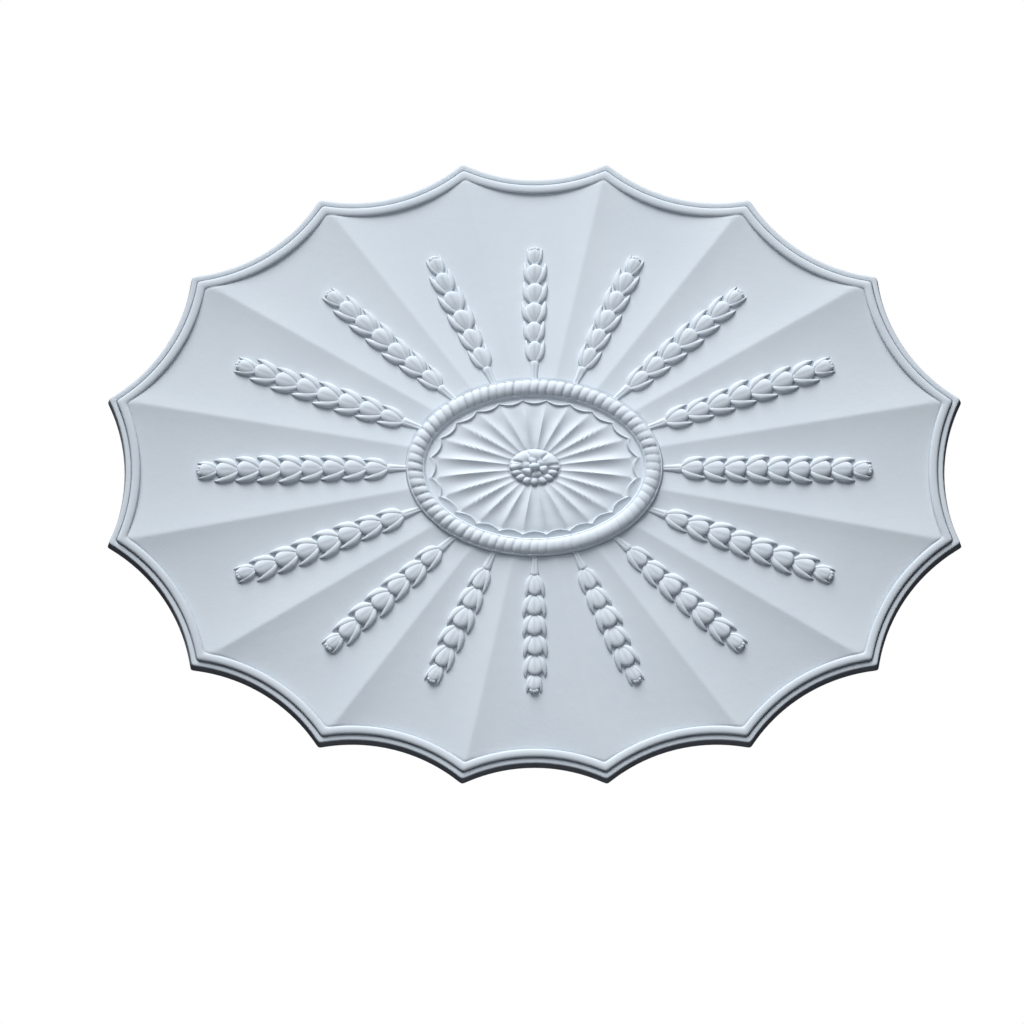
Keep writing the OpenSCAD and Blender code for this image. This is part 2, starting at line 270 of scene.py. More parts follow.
@dataclass
class BayField:
    """The hollowed bays, which fall from the middle to the rim between crisp ridges."""

    outline: Outline
    top: float
    rim_inset: float = 22.0
    ridge_end: float = 23.0
    bay_end: float = 19.0
    ridge_round: float = 3.0
    lattice: float = 9.0
    ridge_offsets: tuple[float, ...] = (0.0, 1.5, 3.2, 7.5)
    ridge_pace: float = 9.0
    scoop_square: float = 0.25
    ridge_easing: float = 2.5
    line_gaps: tuple[float, float, float] = (3.0, 2.0, 1.0)
    lattice_gaps: tuple[float, float] = (6.0, 5.0)
    lattice_keep_off: float = 0.55
    depth: np.ndarray = field(init=False)

    def __post_init__(self) -> None:
        """Work out how deep each bay is scooped."""
        out, _, _ = self.outline.shares(self.outline.foot(self.rim_inset))
        self.depth = (self.top - self.bay_end) / out - (self.top - self.ridge_end)

    def height(self, points: np.ndarray) -> np.ndarray:
        """Height of the bays' surface.

        Args:
            points: Plan points.

        Returns:
            The height of each above the back, in mm.
        """
        out, place, bay = self.outline.shares(points)
        scoop = (1 - self.scoop_square) * place**2 + self.scoop_square * place**4
        to_ridge = 1.0 - np.abs(place)
        eased = self.ridge_round / (out * self.outline.half_chord[bay])
        scoop -= self.ridge_easing * np.clip(eased - to_ridge, 0.0, None) ** 2 / (2.0 * eased)
        return self.top - out * (self.top - self.ridge_end + self.depth[bay] * (1 - scoop))

    def on_ground(self, points: np.ndarray) -> np.ndarray:
        """Plan points with the height of the bays added."""
        return np.column_stack([points, self.height(points)])

    def add_to(self, skin: "Skin", ring: OvalCurve, ring_clear: float, edge_clear: float) -> None:
        """Lay the rows beside the ridges and the lattice between them.

        Args:
            skin: The skin that takes the points.
            ring: Middle line of the ring.
            ring_clear: Distance out from that line where the bays' points start.
            edge_clear: Distance in from the outline where they end.
        """
        corners = self.outline.corners
        start_gap, end_gap, side_gap = self.line_gaps
        ring_gap, edge_gap = self.lattice_gaps
        meet = self.outline.mitre(edge_clear + end_gap)
        keep_off = self.ridge_offsets[-1] + self.lattice_keep_off * self.lattice
        ways = corners / np.linalg.norm(corners, axis=1)[:, None]
        for way, end in zip(ways, meet):
            start = ring.reach(way) + ring_clear + start_gap
            count = int((np.linalg.norm(end) - start) / self.ridge_pace)
            run = np.linspace(start, np.linalg.norm(end), count)
            left = np.array([-way[1], way[0]])
            for offset in self.ridge_offsets:
                for side in (-1.0, 1.0) if offset else (1.0,):
                    line = way * run[:, None] + left * (side * offset)
                    inset, _ = self.outline.edge_distance(line)
                    line = line[inset > edge_clear + side_gap]
                    skin.add(self.on_ground(line), Tie.LINE)
        half = np.abs(corners).max(axis=0)
        x = np.arange(-half[0], half[0], self.lattice)
        y = np.arange(-half[1], half[1], self.lattice * math.sqrt(3) / 2)
        gx, gy = np.meshgrid(x, y)
        gx[1::2] += self.lattice / 2
        points = np.column_stack([gx.ravel(), gy.ravel()])
        inset, _ = self.outline.edge_distance(points)
        size = np.linalg.norm(points, axis=1)
        past = np.hypot(points[:, 0] / ring.half_length, points[:, 1] / ring.half_width)
        from_ring = size * (1.0 - 1.0 / np.maximum(past, 1e-6))
        along = points @ ways.T
        beside = np.abs(points[:, :1] * ways[:, 1] - points[:, 1:] * ways[:, 0])
        beside = np.where(along > 0, beside, np.inf).min(axis=1)
        keep = (inset > edge_clear + edge_gap) & (from_ring > ring_clear + ring_gap)
        keep &= beside > keep_off
        skin.add(self.on_ground(points[keep]), Tie.LOOSE)


@dataclass
class Skin:
    """Points of the casting's face, which are joined into one closed skin."""

    parts: list[np.ndarray] = field(default_factory=list)
    painted_shade: list[np.ndarray] = field(default_factory=list)
    edges: list[tuple[int, int]] = field(default_factory=list)
    count: int = 0

    def add(self, points: np.ndarray, tie: Tie, painted_shade: float | np.ndarray = 0.0) -> None:
        """Add a row or a patch of points.

        Args:
            points: Points of the face, in mm.
            tie: How they are held together.
            painted_shade: How much painted shade each point takes, from 0 to 1.
        """
        n = len(points)
        if n == 0:
            return
        first = self.count
        if tie is not Tie.LOOSE:
            self.edges += [(first + k, first + k + 1) for k in range(n - 1)]
        if tie is Tie.LOOP:
            self.edges.append((first + n - 1, first))
        self.parts.append(np.asarray(points, float))
        self.painted_shade.append(np.broadcast_to(painted_shade, (n,)).astype(float))
        self.count += n

    def piece(self, name: str, base_count: int, outline: Outline) -> bpy.types.Object:
        """Join the points into a closed mesh with a flat back.

        Args:
            name: Name of the piece.
            base_count: Number of points in the first row, which lies on the back.
            outline: The outline, past which no face goes.

        Returns:
            The new piece.
        """
        points = np.vstack(self.parts)
        # Painted shade of each point, from 0 to 1.
        shade_amount = np.concatenate(self.painted_shade)
        plan = [Vector((float(x), float(y))) for x, y in points[:, :2]]
        made = delaunay_2d_cdt(plan, self.edges, [], 1, POINTS_MEET, True)
        flat = np.array([(v.x, v.y) for v in made[0]])
        source = np.array([ids[0] if ids else -1 for ids in made[3]])
        height = points[source, 2]
        for k in np.where(source < 0)[0]:
            near = np.argmin(((points[:, :2] - flat[k]) ** 2).sum(axis=1))
            height[k], source[k] = points[near, 2], near
        verts = np.column_stack([flat, height])
        where = {int(s): k for k, s in enumerate(source)}
        base = [where[k] for k in range(base_count)]
        middle = len(verts)
        verts = np.vstack([verts, [[0.0, 0.0, 0.0]]])
        face_middles = np.array([flat[list(f)].mean(axis=0) for f in made[2]])
        inset, _ = outline.edge_distance(face_middles)
        faces = [tuple(f) for f, w in zip(made[2], inset) if w > EDGE_SLIVER]
        faces += [(middle, base[(k + 1) % base_count], base[k]) for k in range(base_count)]
        painted_shade = np.append(shade_amount[source], 0.0)
        return make_piece(name, verts, faces, painted_shade)


def make_piece(
    name: str, verts: np.ndarray, faces: list[tuple[int, ...]], painted_shade: np.ndarray
) -> bpy.types.Object:
    """Make a smooth-shaded piece with crisp edges where it turns sharply.

    Args:
        name: Name of the piece.
        verts: Its points, in mm.
        faces: Its faces.
        painted_shade: How much painted shade each point takes, from 0 to 1.

    Returns:
        The new piece.
    """
    mesh = bpy.data.meshes.new(name)
    mesh.from_pydata((verts * MM).tolist(), [], faces)
    mesh.validate()
    mesh.update()
    # Painted shade, kept per point for the plaster to read.
    layer = mesh.attributes.new("painted_shade", "FLOAT", "POINT")
    layer.data.foreach_set("value", painted_shade.astype(np.float32))
    mesh.shade_smooth()
    mesh.set_sharp_from_angle(angle=math.radians(CRISP_ANGLE))
    piece = bpy.data.objects.new(name, mesh)
    bpy.context.scene.collection.objects.link(piece)
    return piece


@dataclass
class Rim:
    """The moulded edge: a wall, a flat fillet, a step and a round bead."""

    outline: Outline
    bays: BayField
    height: float = 20.0
    draft: float = 1.9
    fillet_end: float = 10.4
    step: float = 2.0
    bead_middle: float = 16.4
    bead_half: float = 5.8
    bead_height: float = 2.6
    bead_fullness: float = 0.75
    quirk: float = 0.5
    steps: int = 26

    def profile(self) -> list[tuple[float, float, float]]:
        """Section of the rim from the back up to the bead's inner foot.

        Returns:
            Its rows, each as inset from the outline, height above the back, and painted shade.
        """
        # The third number is painted shade: dark on the outer wall all round, and in the small
        # groove at the bead's outer foot.
        rows = [
            (0.0, 0.0, 0.8),
            (self.draft - 0.35, self.height - 3.0, 0.8),
            (self.draft, self.height - 1.2, 0.55),
            (self.draft + 0.7, self.height - 0.3, 0.1),
            (self.draft + 1.8, self.height, 0.0),
            (self.fillet_end - 1.7, self.height, 0.0),
            (self.fillet_end - 1.1, self.height - 0.5, 1.0),
            (self.fillet_end - 0.3, self.height - 1.0, 1.0),
            (self.fillet_end, self.height + 0.4, 0.8),
            (self.fillet_end + 0.15, self.height + self.step - 0.3, 0.2),
        ]
        for angle in range(12, 169, 13):
            a = math.radians(angle)
            inset = self.bead_middle - self.bead_half * math.cos(a)
            crown = self.bead_height * math.sin(a) ** self.bead_fullness
            rows.append((inset, self.height + self.step + crown, 0.0))
        return rows

    def add_to(self, skin: Skin) -> int:
        """Lay the rim's rows.

        Args:
            skin: The skin that takes them.

        Returns:
            The number of points in the row on the back.
        """
        for inset, z, painted_shade in self.profile():
            plan = self.outline.row(inset, self.steps)
            level = np.full(len(plan), z)
            if inset > self.bead_middle:
                level = np.maximum(level, self.bays.height(plan) - self.quirk)
            skin.add(np.column_stack([plan, level]), Tie.LOOP, painted_shade)
        foot = self.bead_middle + self.bead_half
        # Painted shade in the quirk at the bead's inner foot.
        for inset, sink, painted_shade in (
            (foot + 0.3, self.quirk, 0.4),
            (foot + 0.9, self.quirk * 0.9, 0.3),
            (foot + 1.8, 0.1, 0.05),
            (foot + 4.0, 0.0, 0.0),
            (foot + 8.0, 0.0, 0.0),
        ):
            plan = self.outline.row(inset, self.steps)
            level = self.bays.height(plan) - sink
            skin.add(np.column_stack([plan, level]), Tie.LOOP, painted_shade)
        return self.outline.bays * self.steps


@dataclass
class BeadRing:
    """The ring of close-set beads on a plain band."""

    bays: BayField
    curve: OvalCurve
    band_half: float = 13.0
    band_height: float = 41.0
    bead_half: float = 11.0
    bead_top: float = 8.0
    bead_sink: float = 2.25
    beads: int = 76
    columns: int = 8
    bead_gap: float = 0.6
    shoulder_drop: float = 3.0
    foot_width: float = 1.0
    foot_sink: float = 0.5
    foot_shade: float = 0.7
    nick: float = 0.30
    nick_sharpness: float = 3.0
    nick_shade: float = 0.75
    clogging: float = 0.78
    clogged_at: float = -48.0
    clogged_spread: float = 42.0
    slant: float = 0.16
    wear: tuple[float, float] = (0.45, 1.15)
    lift: tuple[float, float] = (-0.5, 0.35)
    seed: int = 3

    def nick_depth(self, turns: np.ndarray) -> np.ndarray:
        """How deep the nicks between beads are, where old paint has filled some of them.

        Args:
            turns: Angles round the ring, in radians.

        Returns:
            The depth at each angle, as a share of a bead's height.
        """
        away = (np.degrees(turns) - self.clogged_at + 180.0) % 360.0 - 180.0
        fill = np.exp(-((away / self.clogged_spread) ** 2))
        return self.nick * (1.0 - self.clogging * fill)

    def add_to(self, skin: Skin) -> None:
        """Lay the ring's rows, from its outer foot to the lip inside it.

        Args:
            skin: The skin that takes them.
        """
        count = self.beads * self.columns
        turns = self.curve.turns(count)
        place = np.arange(count) / self.columns
        rng = np.random.default_rng(self.seed)
        worn = rng.uniform(*self.wear, self.beads)
        lift = rng.uniform(*self.lift, self.beads)
        shoulder = self.bead_half + self.bead_gap
        outside = [self.band_half + g for g in (4.5, 1.2, 0.6)]
        band = [self.band_half, self.band_half - 0.7, shoulder]
        arch = [self.bead_half * math.cos(math.radians(a)) for a in range(6, 175, 14)]
        inside = [-shoulder, -self.band_half + 1.4, -self.band_half + 0.5]
        for offset in outside + band + arch + inside:
            plan = self.curve.offset_points(turns, offset)
            ground = self.bays.height(plan)
            painted_shade = np.zeros(count)
            twisted = place + self.slant * offset / self.bead_half
            nick = np.floor(twisted).astype(int) % self.beads
            pinch = across(twisted) ** self.nick_sharpness
            pinch = pinch * self.nick_depth(turns) * worn[nick]
            bead = np.round(twisted).astype(int) % self.beads
            if offset > self.band_half:
                in_foot = offset < self.band_half + self.foot_width
                z = ground - (self.foot_sink if in_foot else 0.0)
                # Painted shade in the sunk groove at the band's outer foot.
                painted_shade[:] = self.foot_shade if in_foot else 0.0
            else:
                past = max(0.0, abs(offset) - shoulder) / (self.band_half - shoulder)
                z = np.full(count, self.band_height - self.shoulder_drop * past**2)
                section = dome(np.array(offset), self.bead_half)
                crown = self.band_height - self.bead_sink
                crown = crown + (self.bead_top + lift[bead]) * section
                if abs(offset) < self.bead_half + 0.1:
                    dip = pinch * self.bead_top
                    z = np.maximum(z - 0.4, crown - dip)
                    # Painted shade in the nicks between the beads.
                    painted_shade = self.nick_shade * smooth_step(pinch / self.nick)
            skin.add(np.column_stack([plan, z]), Tie.LOOP, painted_shade)


@dataclass
class Medallion:
    """Fluted oval inside the ring, each flute ending in a raised scallop."""

    outer: OvalCurve
    inner: OvalCurve
    outer_offset: float = -13.4
    flutes: int = 24
    columns: int = 16
    edge: float = 36.0
    swell: float = 7.0
    flute_depth: float = 4.0
    scallop_end: float = 0.93
    scallop_bulge: float = 0.065
    scallop_rise: float = 1.9
    crown_turns: tuple[float, float] = (27.0, 153.0)
    near_depth: float = 0.25
    deepens_over: float = 0.4
    flute_fade: float = 0.55
    fades_from: float = 0.55
    fades_over: float = 0.3
    painted_shade: float = 0.6
    plain_rows: tuple[float, ...] = (
        0.0, 0.02, 0.05, 0.09, 0.14, 0.2, 0.27, 0.35, 0.43, 0.51, 0.59, 0.67, 0.74, 0.8, 0.835
    )
    scallop_rows: tuple[float, ...] = (-0.016, -0.004, 0.006, 0.016, 0.03, 0.042)
    last_row: float = 0.99

    def scallop_line(self, bulge: np.ndarray) -> np.ndarray:
        """Place of the scallops' edge between the rosette, at 0, and the ring, at 1."""
        return self.scallop_end - self.scallop_bulge * bulge

    def rows(self, bulge: np.ndarray) -> list[np.ndarray]:
        """Rows between the rosette, at 0, and the ring, at 1.

        Args:
            bulge: 1 in the middle of a flute and 0 on the arris beside it.

        Returns:
            The place of each point, row by row.
        """
        end = self.scallop_line(bulge)
        plain = [np.full(len(bulge), share) for share in self.plain_rows]
        close = [end + step for step in self.scallop_rows]
        return plain + close + [np.full(len(bulge), self.last_row)]

    def height(self, share: np.ndarray, bulge: np.ndarray) -> np.ndarray:
        """Height of the medallion.

        Args:
            share: Place between the rosette, 0, and the ring, 1.
            bulge: 1 in the middle of a flute and 0 on the arris beside it.

        Returns:
            The height above the back, in mm.
        """
        first, sweep = self.crown_turns
        base = self.edge + self.swell * np.sin(np.radians(first + sweep * share))
        end = self.scallop_line(bulge)
        deep = self.near_depth + (1 - self.near_depth) * smooth_step(share / self.deepens_over)
        fade = smooth_step((share - self.fades_from) / self.fades_over)
        hollow = self.flute_depth * deep * bulge * (1.0 - self.flute_fade * fade)
        inside = smooth_step((end - share + 0.003) / 0.012)
        lip = self.scallop_rise * (1.0 - 0.9 * smooth_step((share - end - 0.014) / 0.026))
        return base + (1.0 - inside) * lip - inside * hollow

    def add_to(self, skin: Skin) -> None:
        """Lay the medallion's rows and the lines of its arrises.

        Args:
            skin: The skin that takes them.
        """
        count = self.flutes * self.columns
        place = np.arange(count) / self.columns
        bulge = 1.0 - across(place) ** 2
        far = self.outer.offset_points(self.outer.turns(count), self.outer_offset)
        near = self.inner.offset_points(self.inner.turns(count), 0.0)
        arris = []
        for share in self.rows(bulge):
            plan = near * (1 - share[:, None]) + far * share[:, None]
            z = self.height(share, bulge)
            end = self.scallop_line(bulge)
            # Painted shade along the foot of each scallop and round the rosette's edge.
            painted_shade = self.painted_shade * np.exp(-(((share - end + 0.004) / 0.01) ** 2)) * bulge
            painted_shade = painted_shade + self.painted_shade * (share < 0.01)
            skin.add(np.column_stack([plan, z]), Tie.LOOP, painted_shade)
            arris.append(skin.count - count + np.arange(0, count, self.columns))
        for one, after in zip(arris, arris[1:]):
            skin.edges += [(int(a), int(b)) for a, b in zip(one, after)]


@dataclass
class Rosette:
    """Small oval flower in the middle: wide petals above, small ones below, and a button."""

    half_length: float
    half_width: float
    foot: float = 38.5
    top: float = 50.0
    petals: int = 16
    wide_petals: int = 7
    inner_petals: int = 6
    columns: int = 210
    rows: int = 22
    button_half: float = 0.2
    inner_middle: float = 0.36
    inner_half: float = 0.17
    petal_lift: tuple[float, float] = (0.8, 1.1)
    inner_lift: tuple[float, float] = (0.45, 1.0)
    seed: int = 11

    def add_to(self, skin: Skin) -> None:
        """Lay the rosette's rows in to its middle.

        Args:
            skin: The skin that takes them.
        """
        rng = np.random.default_rng(self.seed)
        turn = np.arange(self.columns) / self.columns
        angle = 2.0 * math.pi * turn
        upper = smooth_step(1.6 * np.sin(angle) + 0.35)
        lift = rng.uniform(*self.petal_lift, self.petals)
        which = np.round(turn * self.petals).astype(int) % self.petals
        petal = across(turn * self.petals)
        wide = across(turn * self.wide_petals + 0.42)
        nick = 0.3 * (1.0 - upper) * petal**2.5 + 0.34 * upper * wide**5
        blob = rng.uniform(*self.inner_lift, self.inner_petals)
        inner = across(turn * self.inner_petals + 0.3)
        inner_which = np.round(turn * self.inner_petals + 0.3).astype(int) % self.inner_petals
        rise = self.top - self.foot
        for share in np.linspace(1.0, 0.04, self.rows):
            edge = smooth_step((share - 0.4) / 0.4)
            outline = share * (1.0 - 0.08 * (1 - upper) * petal**2 * edge)
            plan = np.column_stack(
                [
                    self.half_length * outline * np.cos(angle),
                    self.half_width * outline * np.sin(angle),
                ]
            )
            half = 0.2 + 0.13 * upper
            high = (0.5 + 0.08 * upper) * (lift[which] * (1 - upper) + upper)
            outer = dome(share - (0.99 - half), half) * high - nick * (share > 0.5)
            swell = dome(np.array(share - self.inner_middle), self.inner_half)
            middle = 0.2 + 0.42 * blob[inner_which] * swell
            middle = (middle - 0.3 * inner**3) * (share < 0.56)
            button = 0.4 + 0.6 * dome(np.array(share), self.button_half)
            button = button * (share < self.button_half)
            level = np.maximum(np.maximum(outer, middle), np.maximum(button, 0.12))
            z = self.foot + rise * level * (share < 0.999)
            # Painted shade in the low parts, between the lower petals and round the outer foot,
            # with less of it on the upper side.
            shade_level = 0.6 * (level < 0.25) * (share < 0.9)
            shade_level = shade_level + 0.3 * (1 - upper) * petal**4 * (share > 0.6)
            shade_level = shade_level + 0.7 * (share > 0.94) * (1 - 0.7 * upper)
            skin.add(np.column_stack([plan, z]), Tie.LOOP, np.clip(shade_level, 0.0, 1.0))


@dataclass
class Shells:
    """Closed shells that stand on the bays and make up one piece."""

    verts: list[np.ndarray] = field(default_factory=list)
    faces: list[tuple[int, ...]] = field(default_factory=list)
    painted_shade: list[np.ndarray] = field(default_factory=list)
    count: int = 0

    def add_loft(self, sections: np.ndarray, painted_shade: np.ndarray) -> None:
        """Add a closed shell through a row of sections.

        Args:
            sections: Points as section, place round it and coordinate, in mm.
            painted_shade: How much painted shade each point takes, from 0 to 1.
        """
        rows, sides, _ = sections.shape
        first = self.count
        for r in range(rows - 1):
            a, b = first + r * sides, first + (r + 1) * sides
            for k in range(sides):
                n = (k + 1) % sides
                self.faces.append((a + k, a + n, b + n, b + k))
        last = first + (rows - 1) * sides
        self.faces.append(tuple(first + k for k in reversed(range(sides))))
        self.faces.append(tuple(last + k for k in range(sides)))
        self.verts.append(sections.reshape(-1, 3))
        self.painted_shade.append(painted_shade.reshape(-1))
        self.count += rows * sides

    def piece(self, name: str) -> bpy.types.Object:
        """Make the piece that holds every shell."""
        return make_piece(name, np.vstack(self.verts), self.faces, np.concatenate(self.painted_shade))


@dataclass
class HuskDrop:
    """A stem and a string of husks down the middle of each bay."""

    bays: BayField
    ring: OvalCurve
    ring_half: float = 13.0
    pitch: float = 31.0
    width: float = 35.0
    gain: float = 1.7
    taper: float = 0.76
    rise: float = 0.23
    stem_length: float = 28.0
    margin: float = 100.0
    few_husks: int = 6
    overlap: float = 1.08
    neck_tuck: float = 0.08
    last_size: float = 0.8
    bulb_width: float = 0.7
    groove: float = 0.25
    bud_place: float = 0.72
    bud_width: float = 0.3
    bud_rise: float = 0.9
    bud_turn: float = 27.0
    width_spread: float = 0.04
    rise_spread: float = 0.07
    turn_spread: float = 2.5
    side_spread: float = 0.5
    stem_tuck: float = 4.0
    stem_reach: float = 5.0
    seed: int = 5
    section_angles: tuple[float, ...] = (
        180, 162, 142, 126, 114, 105, 98, 90, 82, 75, 66, 54, 38, 18, 0, -35, -90, -145
    )

    def place(self, line: np.ndarray, base: np.ndarray, local: np.ndarray) -> np.ndarray:
        """Stand points of a husk on the bay.

        Args:
            line: Direction of the husk in plan.
            base: Plan point of its neck.
            local: Points as distance along, to the left, and up from the bay.

        Returns:
            The same points in the casting's own frame.
        """
        left = np.array([-line[1], line[0]])
        flat = base + local[..., :1] * line + local[..., 1:2] * left
        z = self.bays.height(flat.reshape(-1, 2)).reshape(flat.shape[:-1])
        return np.concatenate([flat, (z + local[..., 2])[..., None]], axis=-1)

    def bulb(
        self, length: float, width: float, rise: float, groove: float
    ) -> tuple[np.ndarray, np.ndarray]:
        """An egg-shaped bulb that swells and lifts towards its outer end.

        Args:
            length: Its length, in mm.
            width: Its full width, in mm.
            rise: Height of its crown over the bay, in mm.
            groove: Depth of the groove down its middle, in mm.

        Returns:
            Its sections and the painted shade of each point.
        """
        s = np.array([0.0, 0.06, 0.15, 0.27, 0.4, 0.53, 0.65, 0.76, 0.86, 0.94, 0.985, 1.0])
        fat = np.array([0.25, 0.42, 0.62, 0.82, 0.95, 1.0, 0.99, 0.93, 0.8, 0.58, 0.31, 0.1])
        turn = np.radians(np.array(self.section_angles))
        half = width / 2 * fat
        lift = rise * (0.02 + 0.4 * s)
        thick = rise * 0.64 * fat**0.75
        y = half[:, None] * np.cos(turn)
        z = lift[:, None] + thick[:, None] * np.sin(turn)
        run = smooth_step((s - 0.15) / 0.2) * smooth_step((0.92 - s) / 0.12)
        cut = np.exp(-((y / (0.09 * width)) ** 2)) * run[:, None] * (np.sin(turn) > 0.5)
        z = z - groove * cut
        x = np.broadcast_to((s * length)[:, None], y.shape)
        # Painted shade low down round the bulb's foot and in its groove.
        low = smooth_step((0.3 * rise - z) / (0.35 * rise))
        return np.stack([x, y, z], axis=-1), np.clip(0.9 * low + 0.35 * cut, 0, 1)

    def leaf(
        self, length: float, width: float, rise: float, side: float
    ) -> tuple[np.ndarray, np.ndarray]:
        """One of the two leaves that curl round a bulb and end in a point.

        Args:
            length: Length of the husk, in mm.
            width: Full width of the husk over both leaves, in mm.
            rise: Height of the bulb's crown, in mm.
            side: 1 for the left leaf and -1 for the right one.

        Returns:
            Its sections and the painted shade of each point.
        """
        s = np.array([0.0, 0.09, 0.2, 0.33, 0.46, 0.58, 0.7, 0.8, 0.89, 0.97, 1.04, 1.09])
        outer = np.array(
            [0.13, 0.26, 0.37, 0.45, 0.483, 0.5, 0.508, 0.51, 0.505, 0.49, 0.468, 0.435]
        )
        inner = np.array(
            [0.01, 0.03, 0.05, 0.08, 0.12, 0.17, 0.24, 0.3, 0.34, 0.372, 0.398, 0.422]
        )
        crest = np.array([0.34, 0.48, 0.6, 0.68, 0.71, 0.7, 0.66, 0.6, 0.52, 0.42, 0.3, 0.12])
        across_leaf = np.array([0.0, 0.0, 0.2, 0.5, 0.8, 1.0, 1.0])
        up = np.array([-1.0, 0.45, 0.88, 1.0, 0.86, 0.45, -1.0])
        span = (outer - inner)[:, None] * width
        y = inner[:, None] * width + span * across_leaf
        high = np.where(up > 0, up * crest[:, None] * rise, -2.5)
        x = np.broadcast_to((s * length)[:, None], y.shape)
        local = np.stack([x, side * y, high], axis=-1)
        if side > 0:
            local = local[:, ::-1]
        # Painted shade on the leaf's low edges.
        painted_shade = np.where(local[..., 2] < 0.25 * rise, 0.9, 0.0)
        return local, painted_shade

    def add_drop(self, shells: Shells, bay: int, rng: np.random.Generator) -> int:
        """Add one drop.

        Args:
            shells: The shells that take its husks.
            bay: Number of its bay.
            rng: Source of the small differences between husks.

        Returns:
            The number of husks.
        """
        outline = self.bays.outline
        ways = outline.corners / np.linalg.norm(outline.corners, axis=1)[:, None]
        line = ways[bay] + ways[(bay + 1) % outline.bays]
        line = line / np.linalg.norm(line)
        centre, radius = outline.centre[bay], outline.radius[bay]
        beside = float(line @ centre)
        edge = beside - math.sqrt(beside**2 - float(centre @ centre) + radius**2)
        start = OvalCurve(
            self.ring.half_length + self.ring_half, self.ring.half_width + self.ring_half
        ).reach(line)
        run = edge - self.margin - start - self.stem_length
        count = round(run / self.pitch)
        pitch = run / count
        widest = self.width + self.gain * max(0, count - self.few_husks)
        left = np.array([-line[1], line[0]])
        self.add_stem(shells, line, start)
        for k in range(count):
            last = k == count - 1
            swell = math.sin(math.pi * (k + 0.5) / count)
            width = widest * (self.taper + (1 - self.taper) * swell)
            width *= 1 + rng.uniform(-self.width_spread, self.width_spread)
            rise = self.rise * width * (1 + rng.uniform(-self.rise_spread, self.rise_spread))
            turn = math.radians(rng.uniform(-self.turn_spread, self.turn_spread))
            way = line * math.cos(turn) + left * math.sin(turn)
            base = line * (start + self.stem_length + (k - self.neck_tuck) * pitch)
            base = base + left * rng.uniform(-self.side_spread, self.side_spread)
            size = self.last_size if last else 1.0
            length = self.overlap * pitch * size
            shape, painted_shade = self.bulb(length, self.bulb_width * width, rise, self.groove)
            shells.add_loft(self.place(way, base, shape), painted_shade)
            for side in (-1.0, 1.0):
                shape, painted_shade = self.leaf(length, width * size, rise, side)
                shells.add_loft(self.place(way, base, shape), painted_shade)
            if last:
                tip = base + way * length * self.bud_place
                self.add_bud(shells, way, tip, self.bud_width * width, self.bud_rise * rise)
        return count

    def add_stem(self, shells: Shells, line: np.ndarray, start: float) -> None:
        """Add the stem that joins the ring to the first husk of a drop.

        Args:
            shells: The shells that take it.
            line: Direction of the drop in plan.
            start: Distance from the middle of the rose to the ring's outer foot, in mm.
        """
        s = np.array([0.0, 0.2, 0.4, 0.6, 0.76, 0.86, 0.93, 0.98, 1.0])
        half = np.array([4.0, 4.3, 4.8, 5.5, 6.2, 6.6, 6.1, 4.4, 1.8])
        turn = np.radians(np.array(self.section_angles))
        y = half[:, None] * np.cos(turn)
        z = 0.6 * half[:, None] * np.sin(turn)
        ends = smooth_step((0.9 - s) / 0.15)[:, None]
        cut = np.exp(-((y / 1.2) ** 2)) * (np.sin(turn) > 0.5) * ends
        along = s * (self.stem_length + self.stem_reach) - self.stem_tuck
        x = np.broadcast_to(along[:, None], y.shape)
        shape = np.stack([x, y, z - 0.6 * cut], axis=-1)
        # Painted shade low down along the stem and in its groove.
        painted_shade = np.clip(0.7 * (z < 0.8) + 0.4 * cut, 0, 1)
        shells.add_loft(self.place(line, line * start, shape), painted_shade)

    def add_bud(
        self, shells: Shells, line: np.ndarray, base: np.ndarray, width: float, rise: float
    ) -> None:
        """Add the three small tips that end a drop.

        Args:
            shells: The shells that take them.
            line: Direction of the middle tip in plan.
            base: Plan point that they spring from.
            width: Width that sets their size, in mm.
            rise: Height of their crowns over the bay, in mm.
        """
        left = np.array([-line[1], line[0]])
        for turn in (-self.bud_turn, 0.0, self.bud_turn):
            a = math.radians(turn)
            way = line * math.cos(a) + left * math.sin(a)
            shape, painted_shade = self.bulb(1.2 * width, 0.95 * width, rise, 0.0)
            shells.add_loft(self.place(way, base, shape), painted_shade)

    def build(self) -> bpy.types.Object:
        """Build every drop as one piece.

        Returns:
            The piece with all the stems and husks.
        """
        rng = np.random.default_rng(self.seed)
        shells = Shells()
        counts = [self.add_drop(shells, i, rng) for i in range(self.bays.outline.bays)]
        LOG.info("husks in each drop: %s", counts)
        return shells.piece("husk_drops")


